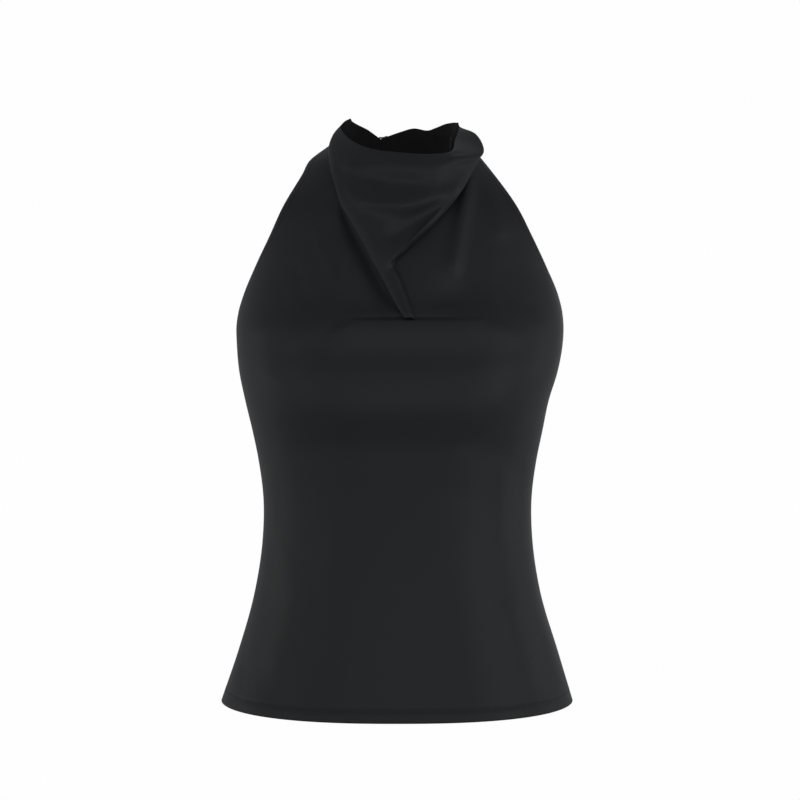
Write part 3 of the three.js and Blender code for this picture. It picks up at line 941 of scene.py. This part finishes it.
@dataclass
class Bodice:
    """The front and the back, sewn at the sides, with turned hem and edges."""

    form: Form
    wall: float = 1.9
    thin: float = 0.47
    edge_turn: float = 7.0
    half_columns: int = 64
    back_columns: int = 116
    back_rows: int = 92

    def build(self) -> None:
        """Build the bodice's pieces."""
        front = self.front_panel()
        back = self.back_panel()
        seams = self.side_seams()
        stitches = self.edge_stitches()
        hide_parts("front_panel")
        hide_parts("back_panel")

    def thickness(self, spot: Vector) -> float:
        """Share of the full wall: all of it in the turned hem."""
        line = self.form.hem + self.form.hem_depth
        return self.thin + (1 - self.thin) * ease((line + 1.5 - spot.z) / 2.0)

    def front_panel(self) -> bpy.types.Object:
        """Lay the front in two halves, parted by the V neckline.

        Returns:
            The piece.
        """
        form = self.form
        point = form.neckline.rows[-1][0]
        heights = spread(
            form.strap_top,
            [(-24, 12), (-130, 34), (point, 18), (-166, 15), (-178, 12), (-300, 42), (-536, 52),
             (-541, 6), (form.hem, 8)],
        )
        sheet = Sheet("front_satin")
        for side in ("left", "right"):
            spot = self._front_spot(side, heights)
            left = side == "left"
            sheet.lay(
                self.half_columns,
                len(heights) - 1,
                spot,
                start=lambda j, side=side: form.neckline.at(side, heights[j]) - 9,
                thick=self.thickness,
                backwards=left,
            )
        sheet.sew()
        return sheet.piece([Finish.FACE, Finish.REVERSE], self.wall, "satin")

    def _front_spot(self, side: str, heights: list[float]) -> Callable[[int, int], Vector]:
        """Places of one half of the front."""
        form = self.form

        def spot(i: int, j: int) -> Vector:
            """The place of a column and row."""
            z = heights[j]
            inside = math.asin(form.front_share(form.neckline.at(side, z), z))
            start = -math.pi / 2 if side == "left" else inside
            end = inside if side == "left" else math.pi / 2
            share = math.sin(start + (end - start) * i / self.half_columns)
            place = form.front(share, z)
            if abs(share) > 0.5:
                place.y += self.side_pucker(share, z, 0.0)
            return place

        return spot

    def side_pucker(self, share: float, z: float, shift: float) -> float:
        """Small ripples that the side seam's thread pulls into the cloth.

        Args:
            share: the share of the width.
            z: the height.
            shift: moves the ripples along the seam.

        Returns:
            The ripple in millimetres.
        """
        if z > self.form.underarm:
            return 0.0
        near = math.exp(-(((1 - abs(share)) / 0.05) ** 2)) * (1 - ease((abs(share) - 0.97) / 0.03))
        wave = math.sin((z + shift) / 2.6) + 0.7 * math.sin((z + shift) / 4.3 + share * 5)
        return 0.22 * near * wave

    def back_panel(self) -> bpy.types.Object:
        """Lay the back, scooped low between the underarms.

        Returns:
            The piece.
        """
        form = self.form
        columns, rows = self.back_columns, self.back_rows
        below = spread(-536, [(-541, 6), (form.hem, 8)])

        def spot(i: int, j: int) -> Vector:
            """The place of a column and row."""
            share = math.sin((0.5 - i / columns) * math.pi)
            top = form.scoop_top(share)
            z = top + (below[0] - top) * j / rows if j <= rows else below[j - rows]
            place = form.back(share, z)
            place.y += self.side_pucker(share, z, 20.0)
            return place

        sheet = Sheet("back_satin")
        sheet.lay(columns, rows + len(below) - 1, spot, thick=self.thickness)
        return sheet.piece([Finish.FACE, Finish.REVERSE], self.wall, "satin")

    def side_seams(self) -> list[bpy.types.Object]:
        """Lay the seam allowances inside both side seams, pressed open.

        Returns:
            The two pieces.
        """
        form = self.form
        columns, rows, width = 8, 90, 15
        run = form.hem_depth - 3 - form.hem + form.underarm - 12
        made = []
        for side, name in ((-1, "seam_allowance_left"), (1, "seam_allowance_right")):

            def spot(i: int, j: int, side: int = side) -> Vector:
                """The place of a column and row."""
                z = form.underarm - 3 - run * j / rows
                y = (i / columns - 0.5) * width
                share = side * (1 - (abs(y) / 118) ** 2 * 0.5)
                inset = 1.25 + 0.1 * math.sin(z / 7) + 0.03 * abs(y)
                return Vector((form.front_x(share, z) - side * inset, -side * y, z))

            sheet = Sheet(name)
            sheet.lay(columns, rows, lambda i, j, spot=spot: spot(columns - i, j))
            made.append(sheet.piece([Finish.REVERSE], 0.5, "satin"))
        return made

    def edge_stitches(self) -> list[bpy.types.Object]:
        """Sew the hem, the armhole edges and the back's top edge.

        Returns:
            The stitches of the front, then of the back.
        """
        form = self.form
        line = form.hem + form.hem_depth

        def hem_front(t: float, _: float) -> Vector:
            """Place on the front hem's line."""
            return form.front(math.sin((t - 0.5) * math.pi * 0.99), line)

        def hem_back(t: float, _: float) -> Vector:
            """Place on the back hem's line."""
            return form.back(math.sin((0.5 - t) * math.pi * 0.99), line)

        def hem_out(place: Place) -> Place:
            """The way out along a hem."""
            return lambda t, _: Vector((place(t, 0).x, place(t, 0).y * 1.6, 0)).normalized()

        front_paths = [(hem_front, hem_out(hem_front))]
        for side in (-1, 1):
            front_paths.append(self._armhole_path(side))

        def scoop(t: float, _: float) -> Vector:
            """Place under the back's top edge."""
            share = math.sin((0.5 - t) * math.pi * 0.96)
            return form.back(share, form.scoop_top(share) - self.edge_turn)

        back_paths = [(hem_back, hem_out(hem_back)), (scoop, hem_out(scoop))]
        return [
            Stitches("front_stitches").sew(front_paths),
            Stitches("back_stitches").sew(back_paths),
        ]

    def _armhole_path(self, side: int) -> tuple[Place, Place]:
        """The stitch line beside one armhole.

        Args:
            side: -1 on the left, 1 on the right.

        Returns:
            The line's place and its way out.
        """
        form = self.form

        def height(t: float) -> float:
            """Height at a share of the line's length."""
            return form.underarm + 2 + (form.strap_top - 4 - form.underarm - 2) * t

        def share_at(z: float) -> float:
            """Share of the width where the line runs."""
            edge = form.front(side, z)
            share = 1.0
            while share > 0.6:
                share -= 0.004
                if (form.front(side * share, z) - edge).length >= self.edge_turn:
                    break
            return side * share

        def place(t: float, _: float) -> Vector:
            """Place on the line."""
            z = height(t)
            return form.front(share_at(z), z)

        def out(t: float, _: float) -> Vector:
            """Way out of the cloth."""
            z = height(t)
            share = share_at(z)
            here = form.front(share, z)
            across = form.front(share * 0.98, z) - here
            up = form.front(share, z + 1.0) - here
            normal = across.cross(up).normalized()
            return normal if normal.y < 0 else -normal

        return place, out


@dataclass
class Cowl:
    """The collar draped in a V: folded under at both sides, with its tail in the crease."""

    form: Form
    wall: float = 0.9
    across_each: int = 13
    down_each: int = 11
    allowance: float = 1.5
    under_lift: float = 1.0
    sewn: float = 0.05
    seam_lap: float = 0.15
    roll: float = 0.45
    slope: float = 0.65
    join_left: tuple[Vector, Vector] = (Vector((-50, 5, 30)), Vector((-51.3, -9.3, 12.4)))
    join_right: tuple[Vector, Vector] = (Vector((58.5, 12, 25.5)), Vector((50.3, -7.5, 12.4)))
    collar: tuple[tuple[tuple[float, float, float], ...], ...] = (
        (
            (-55, -7, 27), (-58.5, -21, 21), (-47, -48, 8), (-27, -66, 0), (0, -75, -3.5),
            (26, -75, -5), (48, -66, -3), (54, -32, 9), (58, -8, 19),
        ),
        (
            (-61, -11, 18), (-66.5, -23, 12.5), (-56, -48, -1), (-31, -70, -10), (0, -81, -14),
            (28, -82, -15), (62, -66, -9), (80.5, -43, -1), (74.5, -18, 14.5),
        ),
        (
            (-62, -17, 5.5), (-70, -27, 1), (-64, -48, -9), (-34, -73, -20), (1, -84, -25),
            (29, -84, -25), (59, -67, -17), (76.5, -49, -11), (64, -26, 1),
        ),
    )
    drape: tuple[tuple[tuple[float, ...], ...], ...] = (
        ((-68, -19, 10), (2, -39, 20.5), (69.5, -25, 17), (0, -6)),
        ((-62.5, -39, 9), (3, -54, 19.5), (60.5, -40, 15), (-25, -28)),
        ((-57.5, -54, 9), (2, -68, 14), (49, -55, 15), (-44, -45)),
        ((-48.5, -70, 9), (-3, -82, 11.5), (34.5, -71, 13), (-62, -65)),
        ((-37, -91, 8.5), (-8, -96, 10), (19, -85.5, 11), (-82, -81)),
        ((-29.5, -106, 8.5), (-12, -107, 9), (4.5, -98.5, 9), (-98, -94)),
        ((-23.5, -117, 8), (-14, -116, 8), (-5, -110, 5), (-109, -105)),
        ((-17.5, -128, 7.5), (-8, -127, 6.6), (1, -123, 3.4), (-121, -119)),
        ((-10, -141, 6.5), (-1, -140.5, 5.4), (7, -138, 3.2), (-135, -134)),
        ((-3, -152, 5.2), (5, -152, 4.6), (12, -151.5, 3.2), (-146, -146)),
        ((3, -160.5, 3.6), (9.5, -161, 4), (15, -161, 3.2), (-154, -154)),
    )
    fine: tuple[Fold, ...] = (
        Fold(50, -5, 84, -1, 1.4, -2.2, 0, 0.15),
        Fold(46, -9, 86, -5, 2.2, 1.0, 0, 0.15),
        Fold(-48, -22, 36, -30, 9, -3.6, 4, 0.3),
        Fold(-60, -43, 64, -34, 8, 3.4, 15),
        Fold(-24, 0, -12, -52, 12, -2.0, 3),
        Fold(48, -47, -20, -93, 9, -3.6),
        Fold(-50, -6, -45, -50, 5, 1.6, 2),
        Fold(58, -22, 40, -72, 4, 0.8, -3),
        Fold(12, -90, -9, -118, 2.4, -2.6, 1),
        Fold(60, -38, 2, -97, 1.8, 1.1, 0, 0.15),
        Fold(-8.2, -108, 12.3, -163, 2.1, 2.6, -1, 0.12),
        Fold(-36, -66, -16, -108, 4, 0.5, 2),
    )

    def on_bodice(self, x: float, z: float, lift: float) -> Vector:
        """A place off the bodice's front."""
        return Vector((x, self.form.front_depth(x, z, False) - lift, z))

    def drape_row(self, row: tuple[tuple[float, ...], ...]) -> list[Vector]:
        """The eleven points of one row over the bodice.

        Args:
            row: the left fold, middle, right fold and seam heights.

        Returns:
            The points from the left seam to the right seam.
        """
        (lx, lz, lup), (mx, mz, mup), (rx, rz, rup), (sl, sr) = row
        seam_l = self.form.neckline.at("left", sl) - self.allowance
        seam_r = self.form.neckline.at("right", sr) + self.allowance
        over_l, over_r = lx + self.roll * lup, rx - self.roll * rup
        near_lz, near_rz = lz + self.slope * (mz - lz), rz + self.slope * (mz - rz)
        near_rup = (rup + mup) / 2 + 7 * ease((rz + 60) / 60)
        return [
            self.on_bodice(seam_l, sl, self.sewn),
            self.on_bodice(lx + 0.45 * lup, lz + 2, self.under_lift),
            self.on_bodice(lx, lz, lup * 0.5),
            self.on_bodice(over_l, lz - 1, lup),
            self.on_bodice((over_l + mx) / 2, near_lz, (lup + mup) / 2 + 0.8),
            self.on_bodice(mx, mz, mup),
            self.on_bodice((over_r + mx) / 2, near_rz, near_rup),
            self.on_bodice(over_r, rz - 1, rup),
            self.on_bodice(rx, rz, rup * 0.5),
            self.on_bodice(rx - 0.45 * rup, rz + 2, self.under_lift),
            self.on_bodice(seam_r, sr, self.sewn),
        ]

    def build(self) -> bpy.types.Object:
        """Drape the cowl.

        Returns:
            The piece.
        """
        rows = []
        for k, points in enumerate(self.collar):
            down = k / (len(self.collar) - 1)
            ends = [join[0].lerp(join[1], down) for join in (self.join_left, self.join_right)]
            rows.append([ends[0], *(Vector(p) for p in points), ends[1]])
        rows += [self.drape_row(row) for row in self.drape]
        count = len(rows[0])
        lines = [Spline(tuple(row[c] for row in rows), Spacing.EVEN) for c in range(count)]
        row_count = (len(rows) - 1) * self.down_each
        band_rows = (len(self.collar) - 1) * self.down_each
        column_count = (count - 1) * self.across_each
        lap = Vector((0, self.seam_lap, 0))
        curves = []
        for j in range(row_count + 1):
            points = [line.at(j / row_count) for line in lines]
            if j <= band_rows:
                points[0] = self.join_left[0].lerp(self.join_left[1], j / band_rows) + lap
                points[-1] = self.join_right[0].lerp(self.join_right[1], j / band_rows) + lap
            curves.append(Spline(tuple(points)))

        def spot(i: int, j: int) -> Vector:
            """The place of a column and row."""
            place = curves[j].at(i / column_count)
            at_seam = i in (0, column_count)
            if at_seam and j <= band_rows:
                return place
            span = i / self.across_each
            open_face = ease((span - 2.4) / 0.8) * ease((7.6 - span) / 0.8)
            place.y -= relief(self.fine, place.x, place.z) * open_face
            return self.rest(place, self.sewn if at_seam else self.under_lift)

        sheet = Sheet("cowl_satin")
        sheet.lay(column_count, row_count, spot)
        made = sheet.piece([Finish.FACE, Finish.REVERSE], self.wall, "satin")
        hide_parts("cowl")
        return made

    def rest(self, place: Vector, lift: float) -> Vector:
        """Keep the cloth on the bodice, never in it.

        Args:
            place: the cloth's place.
            lift: the least distance from the bodice.

        Returns:
            The place, moved out if need be.
        """
        if place.z > self.form.strap_top:
            return place
        if abs(self.form.front_share(place.x, place.z)) > 0.98:
            return place
        place.y = min(place.y, self.form.front_depth(place.x, place.z, False) - lift)
        return place


@dataclass
class NeckBand:
    """The band behind the neck, in two halves that meet at the nape."""

    form: Form
    wall: float = 1.0
    bow: float = 1.2
    seam_lap: float = 0.15
    columns: int = 64
    rows: int = 18
    right_top: tuple[tuple[float, float, float], ...] = (
        (58.5, 12, 25.5), (53, 23, 25.8), (45, 34, 24.5), (36, 44, 21), (28, 50, 18.7),
        (14, 54.5, 20.8), (0, 55, 17.2), (-20.1, 55, 10),
    )
    right_low: tuple[tuple[float, float, float], ...] = (
        (50.3, -7.5, 11.4), (54.3, 3, 11.4), (54.5, 11, 7.6), (51.5, 22, -4), (44, 35, -10),
        (28, 48.5, -14), (6, 55, -16), (-20.1, 55, -15),
    )
    left_top: tuple[tuple[float, float, float], ...] = (
        (-19.9, 55, 10), (-26, 50.8, 14.5), (-33, 43, 19.5), (-42, 32, 24), (-48, 18, 27.5),
        (-50, 5, 30),
    )
    left_low: tuple[tuple[float, float, float], ...] = (
        (-19.9, 55, -15), (-29, 49.8, -14), (-40, 40, -11), (-51, 25, -4), (-57, 5, 11.4),
        (-51.3, -11.6, 11.4),
    )

    def build(self) -> list[bpy.types.Object]:
        """Build both halves.

        Returns:
            The right half and the left half.
        """
        last = self.columns
        halves = (
            ("right", self.right_top, self.right_low, 0, 0.0034),
            ("left", self.left_top, self.left_low, last, 0.0025),
        )
        made = []
        for side, top, low, join, area in halves:
            sheet = Sheet(f"band_{side}_satin")
            sheet.lay(self.columns, self.rows, self._spot(top, low, join))
            piece = sheet.piece([Finish.BAND, Finish.REVERSE], self.wall, "band_satin")
            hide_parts(f"neck_band_{side}")
            made.append(piece)
        return made

    def _spot(
        self,
        top: tuple[tuple[float, float, float], ...],
        low: tuple[tuple[float, float, float], ...],
        join: int,
    ) -> Callable[[int, int], Vector]:
        """Places of one half of the band."""
        upper = Spline(tuple(Vector(p) for p in top))
        lower = Spline(tuple(Vector(p) for p in low))

        def spot(i: int, j: int) -> Vector:
            """The place of a column and row."""
            t, down = i / self.columns, j / self.rows
            place = upper.at(t).lerp(lower.at(t), down)
            outward = Vector((place.x, place.y, 0)).normalized()
            inside = math.sin(math.pi * down) * math.sin(math.pi * t)
            ripple = 0.35 * math.sin(t * 23 + down * 4) + 0.25 * math.sin(t * 41 - down * 6)
            place += outward * (self.bow * inside + ripple * inside)
            if i == join:
                place.y -= self.seam_lap
            return place

        return spot


@dataclass
class NapeFastening:
    """The covered button and the loop that holds it."""

    x: float = -13.5
    z: float = 8.0
    face: float = 55.0
    gap: float = 0.3
    shank: float = 2.0
    neck: float = 2.6
    radius: float = 5.2
    height: float = 3.4
    loop_radius: float = 0.8
    loop_bend: float = 3.4
    loop_offset: float = 1.4
    loop_root: float = -21.5
    steps: int = 72

    def build(self) -> None:
        """Build the button and its loop."""
        self.button()
        self.loop()

    def button(self) -> bpy.types.Object:
        """Turn the button, with cloth gathered to its shank.

        Returns:
            The piece.
        """
        profile = [(0.0, 0.0), (self.shank, 0.0), (self.shank * 0.92, 1.2), (self.shank, 2.2)]
        profile += [(self.shank + 0.9, self.neck), (self.radius * 0.9, self.neck)]
        for k in range(13):
            angle = math.pi / 2 * k / 12
            profile.append((
                self.radius * math.cos(angle),
                self.neck + 0.8 + (self.height - 0.8) * math.sin(angle),
            ))
        profile[-1] = (0.0, profile[-1][1])
        sheet = Sheet("button_cover")
        mesh = sheet.mesh
        verts = [mesh.verts.new(Vector((r, h, 0.0)) * MM) for r, h in profile]
        edges = [mesh.edges.new(pair) for pair in zip(verts, verts[1:])]
        bmesh.ops.spin(
            mesh,
            geom=verts + edges,
            cent=(0, 0, 0),
            axis=(0, 1, 0),
            angle=2 * math.pi,
            steps=self.steps,
            use_merge=True,
        )
        bmesh.ops.remove_doubles(mesh, verts=mesh.verts[:], dist=0.00001)
        bmesh.ops.recalc_face_normals(mesh, faces=mesh.faces[:])
        for vert in mesh.verts:
            r = math.hypot(vert.co.x, vert.co.z) / MM
            h = vert.co.y / MM
            turn = math.atan2(vert.co.z, vert.co.x)
            if self.shank * 0.8 < r and h < self.neck + 1.0:
                pleat = 1 + 0.045 * math.sin(turn * 18 + 0.6 * math.sin(turn * 3))
                vert.co.x *= pleat
                vert.co.z *= pleat
            vert.co += Vector((self.x, self.face + self.gap, self.z)) * MM
        for face in mesh.faces:
            for loop in face.loops:
                loop[sheet.uv].uv = (loop.vert.co.x, loop.vert.co.z)
        made = sheet.piece([Finish.COVER], 0.0, "button_satin")
        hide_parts("neck_button")
        return made

    def loop(self) -> bpy.types.Object:
        """Turn the loop, a thin tube of cloth.

        Returns:
            The piece.
        """
        root = self.loop_root - self.x
        bend = self.loop_bend
        points = [Vector((root, 0, bend))]
        for k in range(9):
            angle = math.pi / 2 - math.pi * k / 8
            points.append(Vector((bend * math.cos(angle), 0, bend * math.sin(angle))))
        points.append(Vector((root, 0, -bend)))
        path = Spline(tuple(points))
        shift = Vector((self.x, self.face + self.loop_offset, self.z))
        around, along = 12, 90

        def spot(i: int, j: int) -> Vector:
            """The place of a column and row."""
            t = j / along
            here = path.at(t)
            ahead = (path.at(min(1.0, t + 0.004)) - path.at(max(0.0, t - 0.004))).normalized()
            out = Vector((0, 1, 0))
            side = ahead.cross(out).normalized()
            angle = 2 * math.pi * i / around
            thick = self.loop_radius * (0.94 + 0.05 * math.sin(j * 0.7))
            return here + shift + (out * math.cos(angle) + side * math.sin(angle)) * thick

        sheet = Sheet("loop_cover")
        sheet.lay(around, along, spot)
        sheet.sew()
        rims = [edge for edge in sheet.mesh.edges if edge.is_boundary]
        bmesh.ops.holes_fill(sheet.mesh, edges=rims)
        bmesh.ops.recalc_face_normals(sheet.mesh, faces=sheet.mesh.faces[:])
        made = sheet.piece([Finish.COVER], 0.0, "button_satin")
        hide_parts("button_loop")
        return made


# Studio


@dataclass(frozen=True)
class Softbox:
    """One soft light, aimed at the top's chest."""

    name: str
    place: tuple[float, float, float]
    size: tuple[float, float]
    power: float
    aim: tuple[float, float, float] = (0.0, 0.0, -0.25)

    def hang(self) -> None:
        """Hang the light."""
        data = bpy.data.lights.new(self.name, "AREA")
        data.shape = "RECTANGLE"
        data.size, data.size_y = self.size
        data.energy = self.power
        lamp = bpy.data.objects.new(self.name, data)
        lamp.location = self.place
        way = Vector(self.aim) - Vector(self.place)
        lamp.rotation_euler = way.to_track_quat("-Z", "Y").to_euler()
        lamp.visible_camera = False
        bpy.context.scene.collection.objects.link(lamp)


@dataclass
class Studio:
    """The camera, soft lights, pale floor and plain backdrop."""

    eye: tuple[float, float, float] = (0.0, -2.8, -0.008)
    pitch: float = 4.94
    lens: float = 126.47
    floor_z: float = -0.80
    fill: float = 0.3
    lights: tuple[Softbox, ...] = (
        Softbox("front_softbox", (0.0, -2.7, -0.2), (2.8, 1.9), 8.0),
        Softbox("left_front_softbox", (-2.2, -1.5, -0.3), (1.0, 1.9), 4.5),
        Softbox("right_front_softbox", (2.2, -1.5, -0.3), (1.0, 1.9), 8.4),
        Softbox("left_softbox", (-2.1, 0.4, -0.45), (0.5, 1.1), 2.0),
        Softbox("right_softbox", (2.1, 0.4, -0.35), (0.5, 1.1), 2.0),
        Softbox("back_softbox", (0.4, 2.7, 0.3), (2.4, 1.9), 7.0),
    )

    def build(self) -> None:
        """Set up the studio."""
        self.camera()
        for light in self.lights:
            light.hang()
        self.floor()
        scene = bpy.context.scene
        scene.view_settings.view_transform = "Standard"
        scene.view_settings.look = "None"
        world = bpy.data.worlds.new("studio_world")
        world.use_nodes = True
        sky = world.node_tree.nodes["Background"]
        sky.inputs["Color"].default_value = (1.0, 1.0, 1.0, 1.0)
        sky.inputs["Strength"].default_value = self.fill
        scene.world = world

    def camera(self) -> None:
        """Set the camera at the photograph's viewing angle."""
        data = bpy.data.cameras.new("camera")
        data.lens = self.lens
        data.sensor_width = 36.0
        data.dof.use_dof = False
        camera = bpy.data.objects.new("camera", data)
        camera.location = self.eye
        camera.rotation_euler = (math.radians(90.0 - self.pitch), 0.0, 0.0)
        bpy.context.scene.collection.objects.link(camera)
        bpy.context.scene.camera = camera

    def floor(self) -> None:
        """Lay the pale floor, and hang the backdrop all round it."""
        recipe = Recipe("studio_paint")
        place = recipe.node("ShaderNodeTexCoord", {}, {}, "Object")
        mottle = recipe.noise(place, 1.5, 2.0) * 0.01 + 0.985
        light = recipe.node(
            "ShaderNodeEmission", {}, {"Color": (1.0, 1.0, 1.0, 1.0), "Strength": mottle}
        )
        paint = recipe.finish(light)
        for name, radius in (("studio_floor", 0.0), ("studio_backdrop", 9.0)):
            mesh = bmesh.new()
            if radius:
                bmesh.ops.create_uvsphere(mesh, u_segments=48, v_segments=24, radius=radius)
            else:
                bmesh.ops.create_grid(mesh, x_segments=1, y_segments=1, size=8.0)
                bmesh.ops.translate(mesh, verts=mesh.verts[:], vec=(0, 0, self.floor_z))
            data = bpy.data.meshes.new(name)
            mesh.to_mesh(data)
            mesh.free()
            data.materials.append(paint)
            made = bpy.data.objects.new(name, data)
            bpy.context.scene.collection.objects.link(made)
            made.visible_diffuse = False
            made.visible_glossy = False
            made.visible_transmission = False
            made.visible_shadow = False


def main() -> None:
    """Load the frame and build the top and its studio."""
    logging.basicConfig(level=logging.INFO, format="%(name)s: %(message)s")
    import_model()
    form = Form()
    Studio().build()
    LOG.info("studio ready")
    Cowl(form).build()
    NeckBand(form).build()
    NapeFastening().build()
    Bodice(form).build()
    LOG.info("top dressed")


if __name__ == "__main__":
    main()
